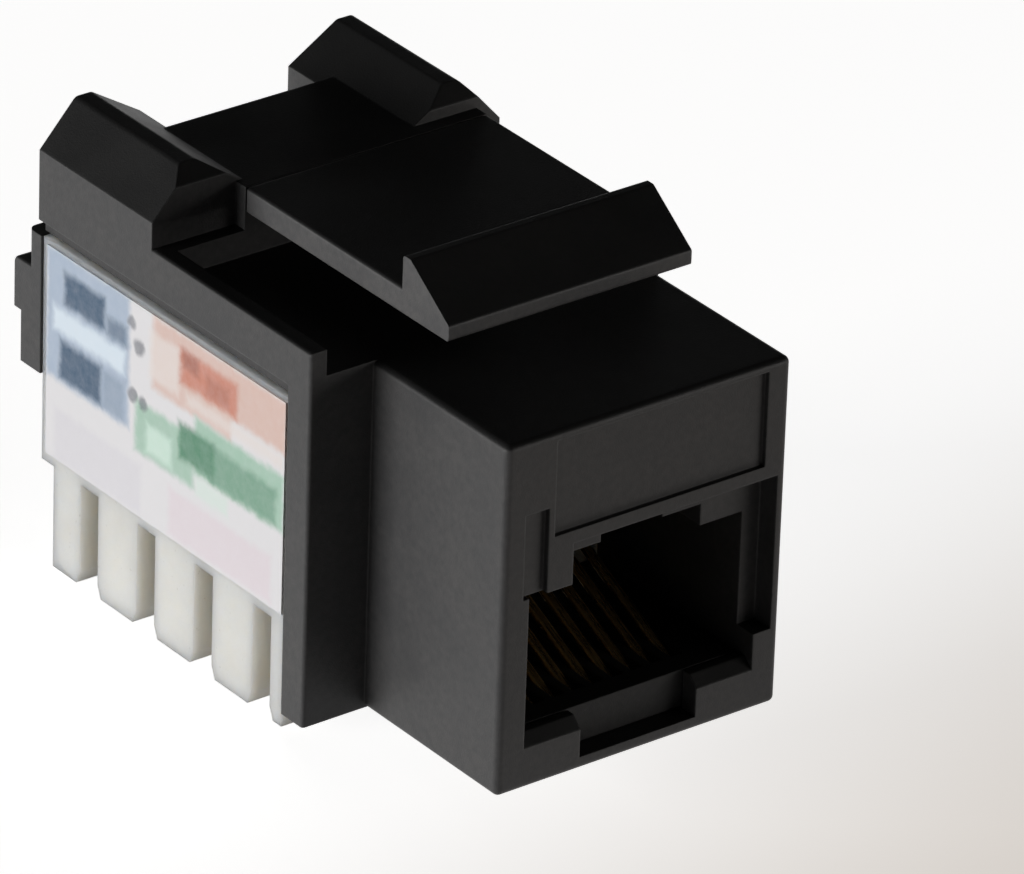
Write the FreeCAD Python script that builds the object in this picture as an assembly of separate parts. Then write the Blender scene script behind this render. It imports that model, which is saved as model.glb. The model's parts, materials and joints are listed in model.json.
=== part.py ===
import FreeCAD, Part
import math
import os

# Keystone jack with an 8-way modular port and bottom-opening wire slots on both sides.
# Millimetres. +Z up, the front face looks along -Y, +X is to the right seen from the front.
# Heights are measured from the underside of the front block while the pieces are built. The
# finished pieces are then lowered by half the face height, so that the origin is the middle
# of the front face.

Vector = FreeCAD.Vector

# ---- front block: the part that fills the panel opening ----
face_width = 14.5
face_height = 16.2
step_depth = 9.1              # front face to the shoulder that stops against the panel
edge_round = 0.3
small_round = 0.15            # edges of the shoulder, rims, latch and grips

# ---- body behind the shoulder ----
left_overhang = 3.17          # how far the body stands out past the front block
right_overhang = 0.2
shoulder_thickness = 1.5
rim_height = 1.2              # side rims above the top of the front block
rim_width = 0.8
roof_thickness = 1.45
recess_length = 10.5          # shoulder's front to the rear end of the recess under the arm
edge_groove_height = 0.6      # groove along the roof's lower side edges
edge_groove_depth = 0.35

# ---- pad and feet on the roof ----
pad_height = 3.2              # above the top of the front block
pad_length = 6.6
foot_setback = 0.7            # from the front of the pad
roof_past_block = 0.25        # how far the roof and its feet run past the wiring block
foot_width = 5.1
foot_rise = 1.2               # above the pad
foot_outer_slope = 1.8        # width of the slope up from the outer side
foot_outer_rise = 2.0
foot_top_width = 0.8
foot_inner_drop = 1.55
foot_round = 0.35
foot_nose = 0.7               # chamfer at the front of each foot's top

# ---- latch ----
arm_width = 12.4
arm_thickness = 1.1
catch_peak = 1.5              # above the arm
catch_lead = 0.4              # the catch's rear edge stands this far ahead of the shoulder
catch_peak_length = 0.5
catch_length = 3.2
catch_tip_height = 0.7
hinge_gap = 0.1               # between the arm's root and the pad

# ---- fixed lug under the front block ----
lug_width = 8.4
lug_lead = 0.9                # the lug's rear edge stands this far ahead of the shoulder
lug_length = 1.9
lug_height = 1.1
lug_ramp = 0.9
lug_root = 0.5                # how far the lug is set into the block

# ---- port ----
port_width = 11.8
port_floor = 2.4
port_height = 6.5             # floor to the shoulders beside the tab notch
port_lead_in = 0.5            # chamfer at the floor's front edge
notch_width = 7.4
notch_height = 1.9
web_front = 0.8               # the web that the plug's tab catches behind
web_thickness = 1.4
web_drop = 0.9                # how far the web's corners hang into the notch
web_gap = 3.4
sill_thickness = 0.9          # front wall under the port
sill_gap = 6.0                # gap in that wall
skin = 0.6                    # bottom wall under the carrier

# ---- plain panel pressed into the face above the port ----
panel_left = -4.7
panel_right = 6.1
panel_above_notch = 0.6
panel_margin = 0.4            # under the top of the front block
panel_depth = 0.25
side_groove_width = 1.2       # upright grooves beside the notch
side_groove_offset = 5.6
side_groove_rise = 2.0        # above the notch
side_groove_depth = 0.3
relief_depth = 1.1            # how far the frame right of the port stands back
relief_wall = 0.45            # outer wall beside that relief
relief_above_floor = 1.2

# ---- contacts ----
contact_count = 8
contact_pitch = 1.016
wire_diameter = 0.46
limb_angle = 25.0             # free limb above the port's floor
limb_tip_length = 1.15        # level end that rides in the comb
limb_tip_radius = 1.2
tip_gap = 0.7                 # from the limb's tip to the back of the comb
fold_radius = 0.5
fold_depth = 3.0              # centre of the fold, behind the front face
lead_height = 1.0
lead_bend = 0.7
lead_setback = 1.9            # from the front of the carrier's wall to the first row of leads
lead_row_pitch = 1.0
lead_proud = 0.7              # above the board
joint_gap = 0.05              # between a lead's end and its limb
fold_front = 100.0            # an angle on the fold near its front, which the wire passes

# ---- contact carrier ----
carrier_front = 1.0
carrier_wall = 3.7
comb_depth = 1.45             # how deep the comb's slots run into the wall
comb_drop = 0.7               # from the port's shoulders to the top of the comb
comb_slot = 0.62
slot_front = 2.1
carrier_play = 0.05
carrier_lap = 0.5              # how far the carrier's flange laps the rows beside it
carrier_flange = 0.55          # its thickness
wire_play = 0.05

# ---- wiring block ----
block_play = 0.1
block_length = 17.5
block_bottom = -0.7
heel_setback = 0.9            # how far the rows' feet stand ahead of the block's rear end
row_width = 3.2
slots_per_row = 4
slot_pitch = 4.15
first_slot_setback = 1.5      # from the front of the block
slot_width = 1.3
slot_height = 4.8
slot_mouth = 0.25             # chamfer at the slot's mouth
slot_mouth_rise = 0.6
channel_floor = 3.9           # thickness between the channel and the board
front_pocket = 0.2            # play behind the carrier
board_room = 2.6              # from the board's seat to the top of the block
block_wall = 1.0

# ---- circuit board ----
board_thickness = 1.6
board_play = 0.1
lead_hole = 0.7
pin_hole = 1.24

# ---- insulation-displacement terminals ----
blade_width = 2.4
blade_thickness = 0.5
blade_setback = 1.7           # from the bottom of the block
blade_slit = 0.35
blade_slit_rise = 0.9         # above the wire slots
blade_mouth = 1.1
pin_width = 0.9
pin_proud = 0.7
blade_play = 0.05

# ---- labels ----
label_thickness = 0.1
label_above_slots = 0.5
label_top_margin = 0.2
label_front_margin = 0.05
label_rear_margin = 0.4

# ---- rear cap ----
cap_play = 0.05
cap_thickness = 1.0
cap_corner = 0.4
grip_width = 1.6
grip_height = 2.4
grip_drop = 1.7               # from the top of the cap
grip_upper_depth = 1.05
grip_lower_depth = 0.55
grip_round = 0.35
peg_radius = 0.8
peg_length = 1.6
peg_inset = 3.4
peg_drop = 3.0
peg_play = 0.04

# ---- worked out from the sizes above ----
body_left = -face_width / 2 - left_overhang
body_right = face_width / 2 + right_overhang
body_front = step_depth + shoulder_thickness
recess_end = step_depth + recess_length
pad_end = recess_end + pad_length
foot_front = recess_end + foot_setback
rim_top = face_height + rim_height
pad_top = face_height + pad_height
foot_top = pad_top + foot_rise
roof_underside = face_height - roof_thickness
block_left = body_left + block_play
block_right = body_right - block_play
block_front = body_front + block_play
block_end = block_front + block_length
block_top = roof_underside - block_play
foot_end = block_end + roof_past_block
row_inner_left = block_left + row_width
row_inner_right = block_right - row_width
carrier_left = row_inner_left + front_pocket
carrier_right = row_inner_right - front_pocket
carrier_back = body_front + carrier_wall
flange_back = body_front + carrier_flange
comb_back = body_front + comb_depth
port_top = port_floor + port_height
notch_top = port_top + notch_height
comb_top = port_top - comb_drop
panel_bottom = notch_top + panel_above_notch
panel_top = face_height - panel_margin
side_groove_top = notch_top + side_groove_rise
catch_back = step_depth - catch_lead
catch_tip = catch_back - catch_length
lug_back = step_depth - lug_lead
lug_front = lug_back - lug_length
arm_underside = pad_top - arm_thickness
fold_height = lead_height + fold_radius
lead_rows = (body_front + lead_setback, body_front + lead_setback + lead_row_pitch)
board_seat = block_top - board_room
channel_top = board_seat - channel_floor
slot_top = block_bottom + slot_height
blade_bottom = block_bottom + blade_setback
blade_slit_top = slot_top + blade_slit_rise
label_bottom = slot_top + label_above_slots
label_top = block_top - label_top_margin
cap_end = block_end + cap_play + cap_thickness
cap_top = block_top
cap_bottom = channel_top
grip_top = cap_top - grip_drop
first_slot = block_front + first_slot_setback
slot_depths = [first_slot + slot_pitch * i for i in range(slots_per_row)]
row_middles = (block_left + row_width / 2, block_right - row_width / 2)
contact_places = [(i - (contact_count - 1) / 2) * contact_pitch for i in range(contact_count)]
cut = 1.0                     # how far cutting shapes run past the faces they open


def box(x, y, z):
    """A box from the low to the high value along each axis."""
    return Part.makeBox(x[1] - x[0], y[1] - y[0], z[1] - z[0], Vector(x[0], y[0], z[0]))


def across(width):
    """The low and high value of a width centred on the port."""
    return (-width / 2, width / 2)


def prism_x(points, x):
    """A prism along X from an outline of (depth, height) points."""
    corners = [Vector(x[0], depth, height) for depth, height in points]
    face = Part.Face(Part.makePolygon(corners + corners[:1]))
    return face.extrude(Vector(x[1] - x[0], 0, 0))


def prism_y(points, y):
    """A prism along Y from an outline of (x, height) points."""
    corners = [Vector(x, y[0], height) for x, height in points]
    face = Part.Face(Part.makePolygon(corners + corners[:1]))
    return face.extrude(Vector(0, y[1] - y[0], 0))


def rounded(shape, radius, wanted):
    """The shape with each edge that the test wants rounded."""
    edges = [edge for edge in shape.Edges if wanted(edge.BoundBox)]
    return shape.makeFillet(radius, edges) if edges else shape


def joined(shapes):
    """One solid out of several that touch."""
    return shapes[0].fuse(shapes[1:]).removeSplitter()


# ---- housing ----

def front_block():
    """The block that fills the panel opening, with its long edges rounded."""
    solid = box(across(face_width), (0, body_front), (0, face_height))

    def long_or_front(bounds):
        along_depth = bounds.YLength > step_depth
        on_front = bounds.YMax < edge_round / 2
        return along_depth or on_front

    return rounded(solid, edge_round, long_or_front)


def shoulder():
    """The plate behind the front block that stops against the panel."""
    plate = box((body_left, body_right), (step_depth, body_front), (0, face_height))
    return rounded(plate, small_round, lambda bounds: bounds.ZLength > step_depth
                   and bounds.YMax < step_depth + small_round)


def rim(outer, inner):
    """The raised rim along one side of the roof, rounded on its outer edges."""
    solid = box(sorted((outer, inner)), (step_depth, foot_end), (roof_underside, rim_top))

    def on_outside(bounds):
        at_side = abs(bounds.XMin - outer) < small_round and bounds.XLength < small_round
        return at_side and (bounds.ZMin > rim_top - small_round or bounds.YMax < step_depth + small_round)

    return rounded(solid, small_round, on_outside)


def roof():
    """The roof over the wiring block, with its rims and the deck that carries the feet."""
    plate = box((body_left, body_right), (body_front, foot_end), (roof_underside, face_height))
    deck = box((body_left + rim_width / 2, body_right - rim_width / 2), (recess_end, foot_end),
               (roof_underside, rim_top))
    return joined([
        plate, deck,
        rim(body_left, body_left + rim_width),
        rim(body_right, body_right - rim_width),
    ])


def pad():
    """The raised pad that the latch arm springs from."""
    solid = box(across(arm_width), (recess_end, pad_end), (roof_underside, pad_top))
    return rounded(solid, edge_round, lambda bounds: bounds.ZMin > pad_top - edge_round / 2
                   and bounds.YMin > pad_end - edge_round / 2)


def foot(outer, inward):
    """A raised foot along one side: it carries the jack when its wires are punched down."""
    outline = [
        (outer, roof_underside),
        (outer, foot_top - foot_outer_rise),
        (outer + inward * foot_outer_slope, foot_top),
        (outer + inward * (foot_outer_slope + foot_top_width), foot_top),
        (outer + inward * foot_width, foot_top - foot_inner_drop),
        (outer + inward * foot_width, roof_underside),
    ]
    nose = prism_x([
        (foot_front - cut, foot_top + cut),
        (foot_front - cut, foot_top - foot_nose - cut),
        (foot_front, foot_top - foot_nose),
        (foot_front + foot_nose, foot_top),
        (foot_front + foot_nose, foot_top + cut),
    ], sorted((outer, outer + inward * foot_width)))
    solid = prism_y(outline, (foot_front, foot_end))
    solid = rounded(solid, foot_round, lambda bounds: bounds.YLength > foot_width
                    and bounds.ZMin > foot_top - foot_round)
    return solid.cut(nose)


def lug():
    """The fixed lug that hooks behind the lower edge of the panel opening."""
    outline = [
        (lug_front, lug_root),
        (lug_front + lug_ramp, -lug_height),
        (lug_back, -lug_height),
        (lug_back, lug_root),
    ]
    return prism_x(outline, across(lug_width))


def port_hollow():
    """The plug's cavity, the tab notch with its web, and the bay under the floor."""
    back = body_front + cut
    cavity = box(across(port_width), (-cut, back), (port_floor, port_top))
    mouth = box(across(notch_width), (-cut, web_front), (port_top, notch_top))
    web_back = web_front + web_thickness
    web_step = box(across(notch_width), (web_front, web_back), (port_top, notch_top - web_drop))
    web_slot = box(across(web_gap), (web_front, web_back), (port_top, notch_top))
    rear = box(across(notch_width), (web_back, back), (port_top, notch_top))
    bay = box(across(port_width), (sill_thickness, back), (skin, port_floor))
    gap = box(across(sill_gap), (-cut, slot_front), (skin, port_floor))
    lead_in = prism_x([
        (-cut, port_floor),
        (-cut, port_floor - port_lead_in),
        (0, port_floor - port_lead_in),
        (port_lead_in, port_floor),
    ], across(port_width))
    relief = box((0, face_width / 2 - relief_wall), (-cut, relief_depth),
                 (port_floor + relief_above_floor, notch_top))
    return joined([cavity, mouth, web_step, web_slot, rear, bay, gap, lead_in, relief])


def face_relief():
    """The bare panel pressed into the face and the grooves beside the notch."""
    panel = box((panel_left, panel_right), (-cut, panel_depth), (panel_bottom, panel_top))
    groove_low = side_groove_offset - side_groove_width / 2
    groove_high = side_groove_offset + side_groove_width / 2
    left = box((-groove_high, -groove_low), (-cut, side_groove_depth), (port_top, side_groove_top))
    return [panel, left]


def edge_groove(outer, inward):
    """The groove along one lower side edge of the roof, over the wiring label."""
    side = sorted((outer - inward * cut, outer + inward * edge_groove_depth))
    height = (roof_underside - cut, roof_underside + edge_groove_height)
    return box(side, (body_front, foot_end + cut), height)


def jack_housing():
    """The black moulding: front block, shoulder, roof, pad, feet and lug in one piece."""
    body = joined([
        front_block(), shoulder(), roof(), pad(),
        foot(body_left, 1), foot(body_right, -1), lug(),
    ])
    grooves = [edge_groove(body_left, 1), edge_groove(body_right, -1)]
    return body.cut([port_hollow()] + face_relief() + grooves)


# ---- latch ----

def panel_latch():
    """The sprung arm and its catch, with the ramp that leads it under the panel's edge."""
    tip_top = arm_underside + catch_tip_height
    outline = [
        (recess_end - hinge_gap, arm_underside),
        (recess_end - hinge_gap, pad_top),
        (catch_back, pad_top),
        (catch_back, pad_top + catch_peak),
        (catch_back - catch_peak_length, pad_top + catch_peak),
        (catch_tip, tip_top),
        (catch_tip, arm_underside),
    ]
    solid = prism_x(outline, across(arm_width))

    def worn_by_hand(bounds):
        on_tip = bounds.YMax < catch_tip + small_round
        on_peak = bounds.ZMin > pad_top + small_round
        arm_edge = bounds.YLength > catch_back / 2 and bounds.ZMin > pad_top - small_round
        return arm_edge or bounds.XLength > arm_width / 2 and (on_tip or on_peak)

    return rounded(solid, small_round, worn_by_hand)


# ---- contacts ----

def bent_wire(points, radii):
    """A round wire along (depth, height) points, with an arc of each given radius."""
    places = [Vector(0, depth, height) for depth, height in points]
    edges = []
    start = places[0]
    for corner, after, radius in zip(places[1:-1], places[2:], radii):
        before = (start - corner).normalize()
        onward = (after - corner).normalize()
        half_turn = before.getAngle(onward) / 2
        reach = radius / math.tan(half_turn)
        into = corner + before * reach
        out = corner + onward * reach
        bisector = (before + onward).normalize()
        middle = corner + bisector * (radius / math.sin(half_turn) - radius)
        edges.append(Part.LineSegment(start, into).toShape())
        edges.append(Part.Arc(into, middle, out).toShape())
        start = out
    edges.append(Part.LineSegment(start, places[-1]).toShape())
    return Part.Wire(edges)


def swept(path, diameter):
    """A round solid along a path."""
    start = path.OrderedVertexes[0].Point
    edge = path.OrderedEdges[0]
    ends = [edge.FirstParameter, edge.LastParameter]
    nearest = min(ends, key=lambda end: (edge.valueAt(end) - start).Length)
    direction = edge.tangentAt(nearest)
    circle = Part.Wire(Part.makeCircle(diameter / 2, start, direction))
    return path.makePipeShell([circle], True, False)


def on_fold(angle):
    """A point on the fold's centre line, at an angle from the top towards the front."""
    turn = math.radians(angle)
    return (fold_depth - fold_radius * math.sin(turn), fold_height + fold_radius * math.cos(turn))


def limb_path():
    """The free limb: a slope up from the fold and a level tip in the comb."""
    turn = math.radians(limb_angle)
    start = on_fold(limb_angle)
    limb_length = (comb_back - tip_gap - limb_tip_length - start[0]) / math.cos(turn)
    first = (start[0] + joint_gap * math.cos(turn), start[1] + joint_gap * math.sin(turn))
    bend = (start[0] + limb_length * math.cos(turn), start[1] + limb_length * math.sin(turn))
    tip = (bend[0] + limb_tip_length, bend[1])
    return bent_wire([first, bend, tip], [limb_tip_radius])


def lead_path(rise):
    """The lead: round the fold, back under the floor and up through the board."""
    top = board_seat + board_thickness + lead_proud
    over = Vector(0, *on_fold(limb_angle))
    front = Vector(0, *on_fold(fold_front))
    under = Vector(0, fold_depth, lead_height)
    fold = Part.Arc(over, front, under).toShape()
    run = bent_wire([(fold_depth, lead_height), (rise, lead_height), (rise, top)], [lead_bend])
    return Part.Wire([fold] + run.Edges)


def contact_spring(place):
    """The limb that a plug's contact presses down."""
    solid = swept(limb_path(), wire_diameter)
    solid.translate(Vector(place, 0, 0))
    return solid


def contact_lead(place, rise, extra=0.0):
    """The fixed part of a contact wire, or the space it needs."""
    solid = swept(lead_path(rise), wire_diameter + extra)
    solid.translate(Vector(place, 0, 0))
    return solid


def lead_rise(number):
    """Where a contact's lead goes up: the leads stand in two rows."""
    return lead_rows[number % 2]


# ---- carrier ----

def contact_carrier():
    """The insert under and behind the port: floor, comb and back wall."""
    floor = box(across(port_width - 2 * carrier_play), (carrier_front, body_front),
                (skin + carrier_play, port_floor))
    wall = box((carrier_left, carrier_right), (body_front, carrier_back),
               (skin + carrier_play, board_seat))
    flange = box((row_inner_left - carrier_lap, row_inner_right + carrier_lap),
                 (body_front, flange_back), (skin + carrier_play, board_seat))
    slots = []
    for number, place in enumerate(contact_places):
        side = (place - comb_slot / 2, place + comb_slot / 2)
        slots.append(box(side, (slot_front, comb_back), (0, comb_top)))
        slots.append(contact_lead(place, lead_rise(number), 2 * wire_play))
    return joined([floor, wall, flange]).cut(slots)


# ---- wiring block ----

def wire_slot(depth):
    """A wire slot through both rows, open at the bottom, with a chamfered mouth."""
    half = slot_width / 2
    outline = [
        (depth - half - slot_mouth, block_bottom - cut),
        (depth - half - slot_mouth, block_bottom),
        (depth - half, block_bottom + slot_mouth_rise),
        (depth - half, slot_top),
        (depth + half, slot_top),
        (depth + half, block_bottom + slot_mouth_rise),
        (depth + half + slot_mouth, block_bottom),
        (depth + half + slot_mouth, block_bottom - cut),
    ]
    return prism_x(outline, (block_left - cut, block_right + cut))


def blade_pocket(middle, depth):
    """The slit that holds one terminal."""
    across_row = (middle - blade_thickness / 2 - blade_play, middle + blade_thickness / 2 + blade_play)
    along_row = (depth - blade_width / 2 - blade_play, depth + blade_width / 2 + blade_play)
    return box(across_row, along_row, (blade_bottom - blade_play, board_seat + cut))


def peg_places():
    """The middles of the rear cap's two pegs, as (x, height)."""
    height = cap_top - peg_drop - peg_radius
    return [(block_left + peg_inset, height), (block_right - peg_inset, height)]


def idc_block():
    """The ivory block with a row of wire slots on each side."""
    solid = box((block_left, block_right), (block_front, block_end), (block_bottom, block_top))
    channel = box((row_inner_left, row_inner_right), (block_front - cut, block_end + cut),
                  (block_bottom - cut, channel_top))
    pocket = box((row_inner_left, row_inner_right), (block_front - cut, carrier_back + front_pocket),
                 (block_bottom - cut, board_seat + cut))
    lap = carrier_lap + carrier_play
    rebate = box((row_inner_left - lap, row_inner_right + lap),
                 (block_front - cut, flange_back + carrier_play), (block_bottom - cut, board_seat + cut))
    board_space = box((block_left + block_wall, block_right - block_wall),
                      (block_front - cut, block_end - block_wall), (board_seat, block_top + cut))
    heels = box((block_left - cut, block_right + cut), (block_end - heel_setback, block_end + cut),
                (block_bottom - cut, slot_top))
    cuts = [channel, pocket, rebate, board_space, heels]
    cuts += [wire_slot(depth) for depth in slot_depths]
    cuts += [blade_pocket(middle, depth) for middle in row_middles for depth in slot_depths]
    for x, height in peg_places():
        bottom = Vector(x, block_end - peg_length - peg_play, height)
        hole_length = peg_length + 2 * peg_play
        cuts.append(Part.makeCylinder(peg_radius + peg_play, hole_length, bottom, Vector(0, 1, 0)))
    return solid.cut(cuts)


def idc_terminal(middle, depth):
    """A slotted blade that grips one wire, with its pin up through the board."""
    side = (middle - blade_thickness / 2, middle + blade_thickness / 2)
    blade = box(side, (depth - blade_width / 2, depth + blade_width / 2), (blade_bottom, board_seat))
    pin = box(side, (depth - pin_width / 2, depth + pin_width / 2),
              (board_seat, board_seat + board_thickness + pin_proud))
    slit = box((side[0] - cut, side[1] + cut), (depth - blade_slit / 2, depth + blade_slit / 2),
               (blade_bottom - cut, blade_slit_top))
    mouth = prism_x([
        (depth - blade_mouth / 2, blade_bottom),
        (depth, blade_bottom + blade_mouth),
        (depth + blade_mouth / 2, blade_bottom),
    ], (side[0] - cut, side[1] + cut))
    return joined([blade, pin]).cut([slit, mouth])


# ---- board ----

def circuit_board():
    """The board that joins the contact leads to the terminals."""
    solid = box((block_left + block_wall + board_play, block_right - block_wall - board_play),
                (block_front + board_play, block_end - block_wall - board_play),
                (board_seat, board_seat + board_thickness))
    holes = []
    for number, place in enumerate(contact_places):
        holes.append(Part.makeCylinder(lead_hole / 2, board_thickness + 2 * cut,
                                       Vector(place, lead_rise(number), board_seat - cut)))
    for middle in row_middles:
        for depth in slot_depths:
            holes.append(Part.makeCylinder(pin_hole / 2, board_thickness + 2 * cut,
                                           Vector(middle, depth, board_seat - cut)))
    return solid.cut(holes)


# ---- labels and cap ----

def wiring_label(side):
    """The colour label on one side wall of the wiring block."""
    length = (block_front + label_front_margin, block_end - label_rear_margin)
    return box(side, length, (label_bottom, label_top))


def cap_grip(outer, inward):
    """The stepped finger grip at one end of the rear cap."""
    side = sorted((outer, outer + inward * grip_width))
    root = cap_end - cap_thickness / 2
    middle = grip_top - grip_height
    upper = box(side, (root, cap_end + grip_upper_depth), (middle, grip_top))
    upper = rounded(upper, grip_round, lambda bounds: bounds.YMin > cap_end + small_round
                    and bounds.ZMin > grip_top - small_round)
    lower = box(side, (root, cap_end + grip_lower_depth), (middle - grip_height, middle))
    solid = joined([upper, lower])
    return rounded(solid, small_round, lambda bounds: bounds.YMin > cap_end + small_round
                   and bounds.ZLength > grip_height / 2)


def rear_cap():
    """The cap behind the wiring block, with two pegs and a grip at each end."""
    plate = box((body_left, body_right), (block_end + cap_play, cap_end), (cap_bottom, cap_top))
    plate = rounded(plate, cap_corner, lambda bounds: bounds.ZLength > grip_height
                    and bounds.YMin > block_end + 2 * cap_play)
    pieces = [plate, cap_grip(body_left, 1), cap_grip(body_right, -1)]
    for x, height in peg_places():
        pieces.append(Part.makeCylinder(peg_radius, peg_length + cap_play + cap_corner,
                                        Vector(x, block_end - peg_length, height), Vector(0, 1, 0)))
    return joined(pieces)


def build():
    """Every piece by its node name."""
    pieces = {
        "jack_housing": jack_housing(),
        "panel_latch": panel_latch(),
        "contact_carrier": contact_carrier(),
        "idc_block": idc_block(),
        "circuit_board": circuit_board(),
        "rear_cap": rear_cap(),
        "wiring_label_left": wiring_label((block_left - label_thickness, block_left)),
        "wiring_label_right": wiring_label((block_right, block_right + label_thickness)),
    }
    for number, place in enumerate(contact_places):
        pieces[f"contact_spring_{number + 1}"] = contact_spring(place)
        pieces[f"contact_lead_{number + 1}"] = contact_lead(place, lead_rise(number))
    terminal_places = [(middle, depth) for middle in row_middles for depth in slot_depths]
    for number, (middle, depth) in enumerate(terminal_places):
        pieces[f"idc_terminal_{number + 1}"] = idc_terminal(middle, depth)
    return pieces


os.makedirs("parts", exist_ok=True)
for name, piece in build().items():
    piece.translate(Vector(0, 0, -face_height / 2))
    piece.exportStep(f"parts/{name}.step")
    print(name, len(piece.Solids), round(piece.Volume, 3), piece.isValid())
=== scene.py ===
import bmesh
import bpy
import json
import math
from mathutils import Matrix, Vector


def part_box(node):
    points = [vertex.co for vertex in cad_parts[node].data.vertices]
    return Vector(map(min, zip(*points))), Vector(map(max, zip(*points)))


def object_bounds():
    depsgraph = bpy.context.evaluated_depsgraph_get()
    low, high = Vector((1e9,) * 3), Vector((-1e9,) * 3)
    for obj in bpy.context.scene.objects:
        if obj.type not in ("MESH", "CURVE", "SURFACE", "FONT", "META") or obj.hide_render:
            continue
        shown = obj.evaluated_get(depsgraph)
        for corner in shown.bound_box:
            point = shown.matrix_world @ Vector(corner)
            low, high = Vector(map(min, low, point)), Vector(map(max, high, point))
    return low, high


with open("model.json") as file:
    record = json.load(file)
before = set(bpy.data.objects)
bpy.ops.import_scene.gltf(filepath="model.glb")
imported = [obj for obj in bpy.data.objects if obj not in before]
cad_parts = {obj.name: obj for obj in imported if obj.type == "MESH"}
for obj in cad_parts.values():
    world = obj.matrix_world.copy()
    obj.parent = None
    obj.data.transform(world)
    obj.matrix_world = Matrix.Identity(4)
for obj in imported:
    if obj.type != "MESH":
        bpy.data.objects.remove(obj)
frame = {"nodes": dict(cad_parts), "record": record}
nodes = frame["nodes"]
startLow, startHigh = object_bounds()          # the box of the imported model
mm = 0.001


def newMaterial(name):
    material = bpy.data.materials.new(name)
    material.use_nodes = True
    tree = material.node_tree
    return material, tree, tree.nodes["Principled BSDF"]


def addNode(tree, kind, settings=None, inputs=None):
    node = tree.nodes.new(kind)
    for key, value in (settings or {}).items():
        setattr(node, key, value)
    for key, value in (inputs or {}).items():
        if isinstance(value, bpy.types.NodeSocket):
            tree.links.new(value, node.inputs[key])
        else:
            node.inputs[key].default_value = value
    return node


def objectSpot(tree, origin=(0, 0, 0), scale=1000):
    # object coordinates in millimetres, counted from a point on the piece
    where = addNode(tree, "ShaderNodeTexCoord")
    shift = [-part * scale for part in origin]
    return addNode(tree, "ShaderNodeMapping", {}, {
        "Vector": where.outputs["Object"], "Location": shift,
        "Scale": (scale, scale, scale)}).outputs["Vector"]


def noise(tree, spot, scale, detail=3.0, roughness=0.55):
    return addNode(tree, "ShaderNodeTexNoise", {}, {
        "Vector": spot, "Scale": scale, "Detail": detail, "Roughness": roughness}).outputs["Fac"]


def mapRange(tree, value, low, high, newLow, newHigh, smooth=False):
    kind = "SMOOTHSTEP" if smooth else "LINEAR"
    return addNode(tree, "ShaderNodeMapRange", {"interpolation_type": kind, "clamp": True}, {
        "Value": value, "From Min": low, "From Max": high,
        "To Min": newLow, "To Max": newHigh}).outputs["Result"]


def mathNode(tree, operation, first, second=0.0):
    return addNode(tree, "ShaderNodeMath", {"operation": operation}, {0: first, 1: second}).outputs["Value"]


def mixColour(tree, factor, first, second, blend="MIX"):
    node = addNode(tree, "ShaderNodeMix", {"data_type": "RGBA", "blend_type": blend})
    for key, value in ((0, factor), (6, first), (7, second)):
        if isinstance(value, bpy.types.NodeSocket):
            tree.links.new(value, node.inputs[key])
        else:
            node.inputs[key].default_value = value
    return node.outputs[2]


def softNormal(tree, radius):
    # the normal as it would be with the edges rounded by this radius
    return addNode(tree, "ShaderNodeBevel", {"samples": 4}, {"Radius": radius}).outputs["Normal"]


def edgeMask(tree, soft, low, high):
    # 1 on edges and 0 on flats, from how far the rounded normal leans off the true one
    true = addNode(tree, "ShaderNodeNewGeometry")
    lean = addNode(tree, "ShaderNodeVectorMath", {"operation": "DOT_PRODUCT"}, {
        0: soft, 1: true.outputs["Normal"]}).outputs["Value"]
    return mapRange(tree, mathNode(tree, "SUBTRACT", 1.0, lean), low, high, 0.0, 1.0, smooth=True)


def bump(tree, heights, distance, strength, soft=None):
    # relief, over a rounded normal where one is given
    settings = {"Height": heights, "Distance": distance, "Strength": strength}
    if soft is not None:
        settings["Normal"] = soft
    return addNode(tree, "ShaderNodeBump", {}, settings).outputs["Normal"]


def colour(red, green, blue):
    return (red, green, blue, 1.0)


# black mouldings: dark, light and edge are linear greys; the edge grey is a painted highlight along the
# edges
blackPlastic = {
    "housing": {"dark": 0.050, "light": 0.066, "edge": 0.100, "roughness": (0.42, 0.54), "grain": 14.0},
    # the latch's greys are lighter than the housing's: painted light on the latch
    "latch": {"dark": 0.082, "light": 0.104, "edge": 0.130, "roughness": (0.42, 0.54), "grain": 14.0},
    "cap": {"dark": 0.052, "light": 0.068, "edge": 0.100, "roughness": (0.42, 0.54), "grain": 14.0},
    "carrier": {"dark": 0.016, "light": 0.024, "edge": 0.040, "roughness": (0.50, 0.64), "grain": 18.0},
}
blackFinish = {
    "softEdge": 0.00013,                   # metres
    "specular": 0.22,
    "paintedEdgeHighlight": (0.01, 0.16),                  # how far a normal leans where the painted edge highlight starts and ends
    "dust": {"tone": (0.085, 0.083, 0.080), "reach": (0.71, 0.80), "cover": 0.18},
    "top": {"tone": 0.010, "reach": (0.25, 0.65), "cover": 0.90},   # painted shade: faces that look up are darkened
}


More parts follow.
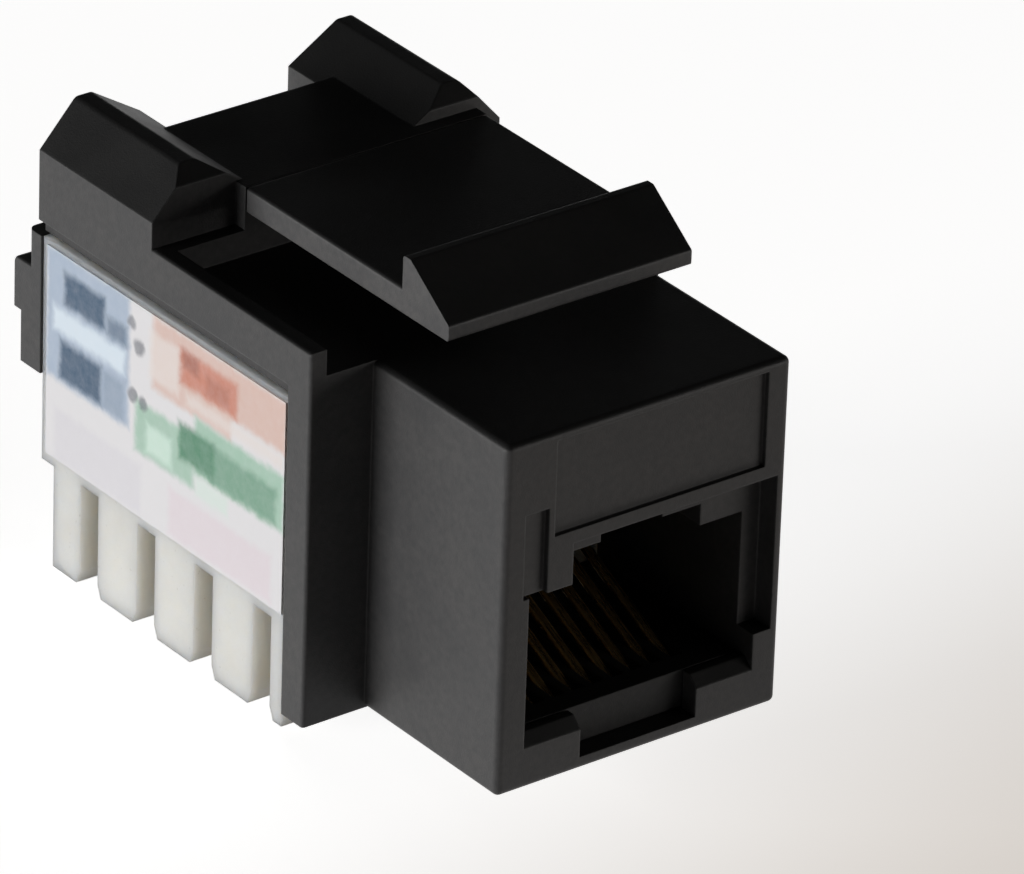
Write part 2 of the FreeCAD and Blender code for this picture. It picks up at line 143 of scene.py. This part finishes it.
def mouldedBlack(name, look):
    material, tree, shader = newMaterial(name)
    spot = objectSpot(tree)
    clouds = noise(tree, spot, 0.22, 4.0, 0.6)
    flecks = noise(tree, spot, 3.1, 2.0)
    tone = mathNode(tree, "MULTIPLY", clouds, flecks)
    base = mixColour(tree, mapRange(tree, tone, 0.14, 0.38, 0.0, 1.0),
                     colour(look["dark"], look["dark"], look["dark"] * 1.03),
                     colour(look["light"] * 1.02, look["light"], look["light"]))
    soft = softNormal(tree, blackFinish["softEdge"])
    # painted highlight: the edges are lightened towards the edge grey, broken up by noise
    paintedEdgeHighlight = edgeMask(tree, soft, *blackFinish["paintedEdgeHighlight"])
    patchy = mapRange(tree, noise(tree, spot, 1.3, 5.0, 0.7), 0.3, 0.7, 0.45, 1.0)
    patchyEdgeHighlight = mathNode(tree, "MULTIPLY", paintedEdgeHighlight, patchy)
    base = mixColour(tree, patchyEdgeHighlight, base, colour(look["edge"], look["edge"], look["edge"]))
    dust = blackFinish["dust"]
    dusty = mapRange(tree, noise(tree, spot, 5.5, 1.0), *dust["reach"], 0.0, dust["cover"])
    base = mixColour(tree, dusty, base, colour(*dust["tone"]))
    # painted shade: the faces that look up are darkened towards a near-black tone
    upright = addNode(tree, "ShaderNodeTexCoord").outputs["Normal"]
    upright = addNode(tree, "ShaderNodeSeparateXYZ", {}, {0: upright}).outputs["Z"]
    top = blackFinish["top"]
    paintedTopShadeMask = mapRange(tree, upright, *top["reach"], 0.0, top["cover"], smooth=True)
    base = mixColour(tree, paintedTopShadeMask, base, colour(top["tone"], top["tone"], top["tone"]))
    tree.links.new(base, shader.inputs["Base Color"])
    low, high = look["roughness"]
    tree.links.new(mapRange(tree, clouds, 0.3, 0.7, low, high), shader.inputs["Roughness"])
    shader.inputs["Specular IOR Level"].default_value = blackFinish["specular"]
    sparkGrain = addNode(tree, "ShaderNodeTexVoronoi", {"feature": "SMOOTH_F1"}, {
        "Vector": spot, "Scale": look["grain"], "Smoothness": 0.6}).outputs["Distance"]
    heights = mathNode(tree, "ADD", sparkGrain, mathNode(tree, "MULTIPLY", clouds, 1.5))
    tree.links.new(bump(tree, heights, 0.000012, 0.55, soft), shader.inputs["Normal"])
    return material


ivory = {
    "pale": (0.79, 0.78, 0.735),
    "deep": (0.735, 0.72, 0.675),
    "roughness": (0.40, 0.54),
    "softEdge": 0.00010,
    "bleed": 1.0,                          # how much light passes under the surface
    "bleedRadius": (0.0030, 0.0027, 0.0023),
    # the edge tone is a painted highlight on the ivory's edges
    "edge": {"tone": (0.87, 0.86, 0.83), "lean": (0.02, 0.25), "cover": 0.35},
    "specks": {"tone": (0.42, 0.39, 0.33), "reach": (0.70, 0.78), "cover": 0.35},
    "specular": 0.4,
}


def mouldedIvory(name):
    material, tree, shader = newMaterial(name)
    spot = objectSpot(tree)
    flow = noise(tree, spot, 0.35, 5.0, 0.6)
    base = mixColour(tree, mapRange(tree, flow, 0.35, 0.68, 0.0, 1.0),
                     colour(*ivory["pale"]), colour(*ivory["deep"]))
    soft = softNormal(tree, ivory["softEdge"])
    # painted highlight: the ivory's edges are lightened
    edge = edgeMask(tree, soft, *ivory["edge"]["lean"])
    base = mixColour(tree, mathNode(tree, "MULTIPLY", edge, ivory["edge"]["cover"]), base,
                     colour(*ivory["edge"]["tone"]))
    specks = ivory["specks"]
    speckled = mapRange(tree, noise(tree, spot, 4.2, 2.0), *specks["reach"], 0.0, specks["cover"])
    base = mixColour(tree, speckled, base, colour(*specks["tone"]))
    tree.links.new(base, shader.inputs["Base Color"])
    low, high = ivory["roughness"]
    tree.links.new(mapRange(tree, flow, 0.3, 0.7, low, high), shader.inputs["Roughness"])
    shader.inputs["Specular IOR Level"].default_value = ivory["specular"]
    shader.inputs["Subsurface Weight"].default_value = ivory["bleed"]
    shader.inputs["Subsurface Radius"].default_value = ivory["bleedRadius"]
    shader.inputs["Subsurface Scale"].default_value = 1.0
    relief = bump(tree, noise(tree, spot, 9.0, 3.0), 0.000015, 0.5, soft)
    tree.links.new(relief, shader.inputs["Normal"])
    return material


# Both labels share one layout. Its fields are in millimetres: middle and size, counted forward from
# the label's rear edge and down from its top edge, then the name of the ink and how strongly it covers.
wiringLabel = {
    "film": (0.80, 0.79, 0.81),
    "edgeSoft": 0.26,
    "wobble": 0.40,
    "fields": [
        ((3.00, 3.00), (6.0, 6.1), "firstPale", 0.85),
        ((3.10, 3.15), (5.2, 1.1), "firstLight", 0.90),
        ((2.75, 1.50), (2.9, 1.5), "firstDark", 0.95),
        ((2.50, 4.95), (3.0, 1.8), "firstDark", 0.95),
        ((5.10, 1.90), (1.4, 0.9), "firstDark", 0.65),
        ((4.90, 5.00), (1.5, 1.8), "firstDark", 0.28),
        ((10.50, 1.70), (5.6, 3.4), "secondPale", 0.85),
        ((15.15, 1.20), (4.0, 2.4), "secondPale", 0.90),
        ((8.50, 1.90), (2.1, 2.2), "secondLight", 0.75),
        ((11.70, 1.45), (4.0, 1.6), "secondDeep", 0.88),
        ((12.30, 1.60), (1.6, 0.9), "secondDark", 0.35),
        ((10.40, 1.10), (1.1, 0.8), "secondDark", 0.60),
        ((13.50, 2.85), (6.8, 0.6), "secondLight", 0.70),
        ((8.60, 5.60), (4.2, 2.4), "thirdPale", 0.85),
        ((13.90, 4.75), (6.3, 2.6), "thirdPale", 0.90),
        ((14.20, 5.10), (4.6, 1.7), "thirdDark", 0.62),
        ((10.90, 4.95), (2.5, 1.7), "thirdDark", 0.95),
        ((8.20, 5.90), (1.8, 1.3), "thirdLight", 0.80),
        ((12.00, 6.60), (2.3, 0.9), "thirdLight", 0.50),
        ((3.80, 8.60), (6.3, 2.4), "coolTint", 0.45),
        ((12.60, 8.60), (7.3, 2.2), "warmTint", 0.55),
    ],
    "marks": [((6.70, 1.95), 0.42), ((6.20, 1.00), 0.34), ((6.30, 4.35), 0.36), ((7.05, 4.45), 0.36)],
    "markInk": (0.11, 0.12, 0.15),
    "mottle": {"tone": (0.86, 0.86, 0.90), "reach": (0.35, 0.7), "cover": 0.10},
    "roughness": (0.30, 0.44),
    "specular": 0.3,
}
sharedInks = {"coolTint": (0.70, 0.68, 0.74), "warmTint": (0.79, 0.67, 0.73)}
blueInks = {"Pale": (0.36, 0.46, 0.60), "Light": (0.76, 0.86, 0.95), "Dark": (0.035, 0.085, 0.155)}
orangeInks = {"Pale": (0.72, 0.50, 0.43), "Light": (0.83, 0.76, 0.73), "Deep": (0.60, 0.215, 0.14),
              "Dark": (0.30, 0.10, 0.07)}
greenInks = {"Pale": (0.34, 0.56, 0.43), "Light": (0.68, 0.86, 0.76), "Deep": (0.16, 0.36, 0.24),
             "Dark": (0.085, 0.25, 0.150)}
brownInks = {"Pale": (0.58, 0.46, 0.38), "Light": (0.87, 0.80, 0.73), "Dark": (0.13, 0.065, 0.040)}


def inkSet(first, second, third):
    inks = dict(sharedInks)
    for place, family in (("first", first), ("second", second), ("third", third)):
        inks.update({place + tone: ink for tone, ink in family.items()})
    return inks


def addField(tree, spot, base, middle, size, ink, cover):
    # one soft-edged rectangle of ink over what is already printed
    away = addNode(tree, "ShaderNodeVectorMath", {"operation": "SUBTRACT"}, {
        0: spot, 1: (middle[0], middle[1], 0)})
    away = addNode(tree, "ShaderNodeVectorMath", {"operation": "ABSOLUTE"}, {0: away.outputs["Vector"]})
    past = addNode(tree, "ShaderNodeVectorMath", {"operation": "SUBTRACT"}, {
        0: away.outputs["Vector"], 1: (size[0] / 2, size[1] / 2, 0)})
    parts = addNode(tree, "ShaderNodeSeparateXYZ", {}, {0: past.outputs["Vector"]})
    furthest = mathNode(tree, "MAXIMUM", parts.outputs["X"], parts.outputs["Y"])
    soft = wiringLabel["edgeSoft"]
    mask = mapRange(tree, furthest, -soft, soft, cover, 0.0, smooth=True)
    return mixColour(tree, mask, base, colour(*ink))


def addMark(tree, spot, base, middle, radius):
    # one small round dot of dark ink
    away = addNode(tree, "ShaderNodeVectorMath", {"operation": "DISTANCE"}, {
        0: spot, 1: (middle[0], middle[1], 0)})
    mask = mapRange(tree, away.outputs["Value"], radius * 0.5, radius * 1.25, 0.70, 0.0, smooth=True)
    return mixColour(tree, mask, base, colour(*wiringLabel["markInk"]))


def printedLabel(name, inks, node):
    low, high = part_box(node)
    material, tree, shader = newMaterial(name)
    place = objectSpot(tree, (low.x, high.y, high.z))
    parts = addNode(tree, "ShaderNodeSeparateXYZ", {}, {0: place})
    drift = mathNode(tree, "SUBTRACT", noise(tree, place, 1.6, 3.0), 0.5)
    wobble = mathNode(tree, "MULTIPLY", drift, wiringLabel["wobble"])
    forward = mathNode(tree, "ADD", mathNode(tree, "MULTIPLY", parts.outputs["Y"], -1.0), wobble)
    down = mathNode(tree, "SUBTRACT", mathNode(tree, "MULTIPLY", parts.outputs["Z"], -1.0), wobble)
    spot = addNode(tree, "ShaderNodeCombineXYZ", {}, {"X": forward, "Y": down}).outputs["Vector"]
    base = colour(*wiringLabel["film"])
    for middle, size, ink, cover in wiringLabel["fields"]:
        base = addField(tree, spot, base, middle, size, inks[ink], cover)
    for middle, radius in wiringLabel["marks"]:
        base = addMark(tree, spot, base, middle, radius)
    mottle = wiringLabel["mottle"]
    mottled = mapRange(tree, noise(tree, place, 1.7, 4.0, 0.65), *mottle["reach"], 0.0, mottle["cover"])
    base = mixColour(tree, mottled, base, colour(*mottle["tone"]))
    tree.links.new(base, shader.inputs["Base Color"])
    gloss = mapRange(tree, noise(tree, place, 0.8, 3.0), 0.3, 0.7, *wiringLabel["roughness"])
    tree.links.new(gloss, shader.inputs["Roughness"])
    shader.inputs["Specular IOR Level"].default_value = wiringLabel["specular"]
    tree.links.new(bump(tree, noise(tree, place, 6.0, 3.0), 0.000010, 0.5), shader.inputs["Normal"])
    return material


metals = {
    "gold": {"bright": (0.86, 0.62, 0.26), "dull": (0.62, 0.42, 0.16), "roughness": (0.20, 0.38)},
    "tin": {"bright": (0.72, 0.70, 0.66), "dull": (0.50, 0.48, 0.44), "roughness": (0.30, 0.50)},
}


def platedMetal(name, look, stretch):
    # stretch lays the drawing lines along the wire or the blade
    material, tree, shader = newMaterial(name)
    spot = objectSpot(tree)
    along = addNode(tree, "ShaderNodeMapping", {}, {"Vector": spot, "Scale": stretch}).outputs["Vector"]
    lines = noise(tree, along, 2.0, 4.0, 0.6)
    tarnish = noise(tree, spot, 0.7, 3.0)
    shine = mapRange(tree, mathNode(tree, "MULTIPLY", lines, tarnish), 0.15, 0.42, 0.0, 1.0)
    base = mixColour(tree, shine, colour(*look["dull"]), colour(*look["bright"]))
    tree.links.new(base, shader.inputs["Base Color"])
    low, high = look["roughness"]
    tree.links.new(mapRange(tree, lines, 0.3, 0.7, low, high), shader.inputs["Roughness"])
    shader.inputs["Metallic"].default_value = 1.0
    tree.links.new(bump(tree, lines, 0.000008, 0.5), shader.inputs["Normal"])
    return material


board = {"resist": (0.012, 0.085, 0.035), "track": (0.030, 0.150, 0.065), "laminate": (0.36, 0.33, 0.17)}


def boardResist(name):
    material, tree, shader = newMaterial(name)
    low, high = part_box("circuit_board")
    spot = objectSpot(tree, low)
    tracks = addNode(tree, "ShaderNodeTexBrick", {"offset": 0.5}, {
        "Vector": spot, "Scale": 1.0, "Mortar Size": 0.16,
        "Brick Width": 4.1, "Row Height": 1.016}).outputs["Fac"]
    base = mixColour(tree, tracks, colour(*board["resist"]), colour(*board["track"]))
    facing = addNode(tree, "ShaderNodeNewGeometry")
    upright = addNode(tree, "ShaderNodeSeparateXYZ", {}, {0: facing.outputs["Normal"]}).outputs["Z"]
    onEdge = mapRange(tree, mathNode(tree, "ABSOLUTE", upright), 0.3, 0.6, 1.0, 0.0)
    base = mixColour(tree, onEdge, base, colour(*board["laminate"]))
    tree.links.new(base, shader.inputs["Base Color"])
    tree.links.new(mapRange(tree, noise(tree, spot, 1.5), 0.3, 0.7, 0.25, 0.42), shader.inputs["Roughness"])
    tree.links.new(bump(tree, tracks, 0.00003, 0.6), shader.inputs["Normal"])
    return material


finishes = {
    "black_housing": mouldedBlack("mouldedBlackHousing", blackPlastic["housing"]),
    "black_cap": mouldedBlack("mouldedBlackCap", blackPlastic["cap"]),
    "black_carrier": mouldedBlack("mouldedBlackCarrier", blackPlastic["carrier"]),
    "ivory_block": mouldedIvory("mouldedIvoryBlock"),
    "contact_gold": platedMetal("platedGoldWire", metals["gold"], (6.0, 0.4, 0.4)),
    "terminal_metal": platedMetal("tinnedBlade", metals["tin"], (3.0, 3.0, 0.3)),
    "board": boardResist("boardResistGreen"),
}
ownFinishes = {
    # a lighter copy of the housing black: painted light on the latch
    "panel_latch": mouldedBlack("mouldedBlackLatch", blackPlastic["latch"]),
    "wiring_label_left": printedLabel("printedLabelLeft", inkSet(blueInks, orangeInks, greenInks),
                                      "wiring_label_left"),
    "wiring_label_right": printedLabel("printedLabelRight", inkSet(brownInks, greenInks, orangeInks),
                                       "wiring_label_right"),
}
slotOf = {part["node"]: part["material_slot"] for part in frame["record"]["subparts"]}
for name, piece in nodes.items():
    finish = ownFinishes.get(name) or finishes[slotOf[name]]
    piece.data.materials.clear()
    piece.data.materials.append(finish)
print("finishes on", len(nodes), "packed pieces")


floorLook = {
    "size": 4.0,
    "lugFromShoulder": -0.9 * mm,          # the lug's rear edge, which the part rocks back onto
    "heelFromBlockEnd": -0.9 * mm,         # the rear feet of the wiring block
    "albedo": (0.84, 0.82, 0.80),
    "glow": ((0.560, 0.520, 0.480), (0.88, 0.88, 0.88)),   # in the near part of the floor, which carries a painted warm shadow, and in the far part
    "glowReach": (-22.0, 12.0),            # millimetres along the slope of the glow
    "glowReturn": (-110.0, -60.0),         # and where it turns white again in front
    "glowSlope": (-0.25, 0.97, 0.0),
}


def paleFloor():
    # the part rests on its lug and on the rear feet of the wiring block, so the floor meets both
    shoulder = next(mount for mount in frame["record"]["mounts"] if mount["name"] == "shoulder_stop")
    lugY = shoulder["pos_m"][1] + floorLook["lugFromShoulder"]
    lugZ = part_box("jack_housing")[0].z
    blockLow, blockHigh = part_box("idc_block")
    heelY = blockHigh.y + floorLook["heelFromBlockEnd"]
    lean = math.atan2(blockLow.z - lugZ, heelY - lugY)
    mesh = bmesh.new()
    bmesh.ops.create_grid(mesh, x_segments=8, y_segments=8, size=floorLook["size"] / 2)
    bmesh.ops.rotate(mesh, verts=mesh.verts, cent=(0, 0, 0), matrix=Matrix.Rotation(lean, 3, "X"))
    bmesh.ops.translate(mesh, verts=mesh.verts, vec=(0, lugY, lugZ))
    data = bpy.data.meshes.new("paleFloor")
    mesh.to_mesh(data)
    mesh.free()
    floor = bpy.data.objects.new("paleFloor", data)
    bpy.context.scene.collection.objects.link(floor)
    material, tree, shader = newMaterial("paleFloorPaper")
    spot = objectSpot(tree)
    base = mixColour(tree, mapRange(tree, noise(tree, spot, 0.05, 3.0), 0.3, 0.7, 0.0, 1.0),
                     colour(*floorLook["albedo"]), colour(*[part * 0.99 for part in floorLook["albedo"]]))
    tree.links.new(base, shader.inputs["Base Color"])
    shader.inputs["Roughness"].default_value = 0.9
    shader.inputs["Specular IOR Level"].default_value = 0.1
    ray = addNode(tree, "ShaderNodeLightPath")
    mirrored = mathNode(tree, "MAXIMUM", ray.outputs["Is Glossy Ray"], ray.outputs["Is Transmission Ray"])
    seen = mathNode(tree, "MAXIMUM", ray.outputs["Is Camera Ray"], mirrored)
    along = addNode(tree, "ShaderNodeVectorMath", {"operation": "DOT_PRODUCT"}, {
        0: spot, 1: floorLook["glowSlope"]}).outputs["Value"]
    # painted shadow: the glow is dimmer and warmer in front of the part, to the camera and in what the part
    # mirrors
    paintedShadowGlow, far = floorLook["glow"]
    behind = mapRange(tree, along, *floorLook["glowReach"], 0.0, 1.0, smooth=True)
    ahead = mapRange(tree, along, *floorLook["glowReturn"], 1.0, 0.0, smooth=True)
    tint = mixColour(tree, mathNode(tree, "MAXIMUM", behind, ahead), colour(*paintedShadowGlow), colour(*far))
    glow = addNode(tree, "ShaderNodeEmission", {}, {"Color": tint, "Strength": seen})
    both = addNode(tree, "ShaderNodeAddShader", {}, {0: shader.outputs[0], 1: glow.outputs[0]})
    tree.links.new(both.outputs[0], tree.nodes["Material Output"].inputs["Surface"])
    data.materials.append(material)
    return floor


paleFloor()
print("floor laid")

middle = (startLow + startHigh) / 2
lamps = {
    "keyLeft": {"towards": (-0.95, 0.28, 0.08), "distance": 0.90, "size": (0.50, 0.20), "power": 7.9,
                "tint": (1.0, 0.995, 0.985)},
    "fillFrontRight": {"towards": (0.62, -0.72, 0.08), "distance": 0.80, "size": (0.50, 0.20), "power": 1.6,
                       "tint": (1.0, 0.96, 0.92)},
}


def softLamp(name, look):
    data = bpy.data.lights.new(name, "AREA")
    data.shape = "RECTANGLE"
    data.size, data.size_y = look["size"]
    data.energy = look["power"]
    data.color = look["tint"]
    lamp = bpy.data.objects.new(name, data)
    towards = Vector(look["towards"]).normalized()
    lamp.location = middle + towards * look["distance"]
    lamp.rotation_mode = "QUATERNION"
    lamp.rotation_quaternion = (-towards).to_track_quat("-Z", "Y")
    bpy.context.scene.collection.objects.link(lamp)


for name, look in lamps.items():
    softLamp(name, look)


worldLook = {"fill": 0.01, "seen": 1.0, "fadesBy": 0.20}


def studioWorld():
    # white to the camera, dim to the part, and to mirrors white only low down, as a paper sweep is
    world = bpy.data.worlds.new("studioWorld")
    bpy.context.scene.world = world
    world.use_nodes = True
    tree = world.node_tree
    ray = addNode(tree, "ShaderNodeLightPath")
    where = addNode(tree, "ShaderNodeTexCoord")
    height = addNode(tree, "ShaderNodeSeparateXYZ", {}, {0: where.outputs["Generated"]}).outputs["Z"]
    sweep = mapRange(tree, height, 0.0, worldLook["fadesBy"], 1.0, 0.0, smooth=True)
    mirrored = mathNode(tree, "MAXIMUM", ray.outputs["Is Glossy Ray"], ray.outputs["Is Transmission Ray"])
    lowDown = mathNode(tree, "MULTIPLY", mirrored, sweep)
    seen = mathNode(tree, "MAXIMUM", ray.outputs["Is Camera Ray"], lowDown)
    strength = mapRange(tree, seen, 0.0, 1.0, worldLook["fill"], worldLook["seen"])
    tree.links.new(strength, tree.nodes["Background"].inputs["Strength"])
    tree.nodes["Background"].inputs["Color"].default_value = colour(1, 1, 1)


studioWorld()
print("lamps and world set")


cameraLook = {
    "azimuth": -37.825,
    "elevation": 28.03,
    "roll": 1.98,
    "distance": 0.4313,
    "lens": 364.5,
    "aim": (3.226 * mm, -3.805 * mm, -0.866 * mm),
}


def studioCamera():
    # aim is how far the point looked at lies from the middle of the model's box
    around, above, roll = (math.radians(cameraLook[key]) for key in ("azimuth", "elevation", "roll"))
    level = math.cos(above)
    back = Vector((math.sin(around) * level, -math.cos(around) * level, math.sin(above)))
    target = middle + Vector(cameraLook["aim"])
    data = bpy.data.cameras.new("studioCamera")
    data.lens = cameraLook["lens"]
    data.sensor_width = 36.0
    data.clip_start = 0.01
    data.clip_end = 20.0
    camera = bpy.data.objects.new("studioCamera", data)
    camera.location = target + back * cameraLook["distance"]
    turn = (-back).to_track_quat("-Z", "Y").to_matrix() @ Matrix.Rotation(roll, 3, "Z")
    camera.rotation_mode = "QUATERNION"
    camera.rotation_quaternion = turn.to_quaternion()
    bpy.context.scene.collection.objects.link(camera)
    bpy.context.scene.camera = camera


studioCamera()
bpy.context.scene.view_settings.view_transform = "Standard"
print("camera set")
